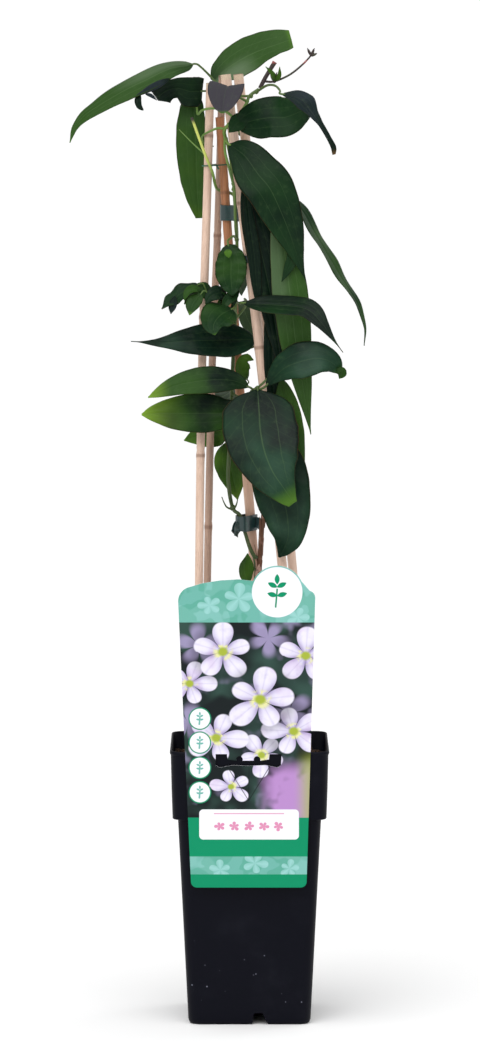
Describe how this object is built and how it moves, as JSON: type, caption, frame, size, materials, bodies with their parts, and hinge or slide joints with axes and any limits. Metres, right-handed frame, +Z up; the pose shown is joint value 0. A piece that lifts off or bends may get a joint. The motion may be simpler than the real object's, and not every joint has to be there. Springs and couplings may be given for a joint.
{
  "type": "potted climbing plant",
  "caption": "Evergreen climber with long drooping leaves, tied to a tipi of bamboo canes in a tall square pot, with a hang label on its rim.",
  "frame": {"origin": "centre of the pot's base, on the floor", "axes": "+Z up along the pot and the canes, -Y towards the side that carries the hang label, +X to the right as the label is looked at"},
  "size_m": [0.2229, 0.1393, 0.7491],
  "materials": {
    "pot_plastic": "black satin, faint speckle",
    "soil": "rough damp compost",
    "label_card": "printed satin sheet",
    "bamboo": "smooth cane with joints",
    "tie_wire": "green coated wire",
    "tie_tape": "dark teal tape",
    "bark": "peeling bark",
    "green_stem": "smooth green stem",
    "brown_shoot": "purple-brown shoot",
    "leaf": "glossy dark green leaf",
    "young_leaf": "yellow-green leaf"
  },
  "bodies": {
    "root": {"pot": "pot_plastic", "soil": "soil", "label": "label_card", "cane_front_left": "bamboo", "cane_back_left": "bamboo", "cane_centre": "bamboo", "cane_front_right": "bamboo", "cane_back_right": "bamboo", "tie_wire_top": "tie_wire", "tie_tape_upper": "tie_tape", "tie_small_right": "tie_tape", "tie_tape_lower": "tie_tape", "woody_stem": "bark", "green_stems": "green_stem", "top_shoot": "brown_shoot", "leaf_top_left_long": "leaf", "leaf_top_left_dark": "leaf", "leaf_left_hanging": "leaf", "leaf_top_right_big": "leaf", "leaf_top_heart": "leaf", "leaf_right_wide": "leaf", "leaf_right_tail": "leaf", "leaf_centre_right": "leaf", "leaf_far_right": "leaf", "leaf_long_green": "leaf", "leaf_long_dark": "leaf", "leaf_small_dark": "leaf", "leaf_crinkled": "leaf", "leaf_small_curled": "leaf", "leaf_small_left": "leaf", "leaf_triangle": "leaf", "leaf_tiny_upright": "leaf", "leaf_left_high": "leaf", "leaf_left_middle": "leaf", "leaf_left_low": "leaf", "leaf_front_big": "leaf", "leaf_front_low": "leaf", "leaf_right_behind": "leaf", "leaf_right_middle": "leaf", "leaf_right_high": "leaf", "leaf_small_yellow": "young_leaf", "leaf_low_yellow": "young_leaf", "leaf_behind_left": "leaf", "leaf_bottom_rolled": "young_leaf", "leaf_back_top": "leaf", "leaf_back_upper": "leaf", "leaf_back_away": "leaf", "leaf_back_right": "leaf", "leaf_back_left": "leaf", "leaf_back_low": "leaf"}
  },
  "joints": []
}
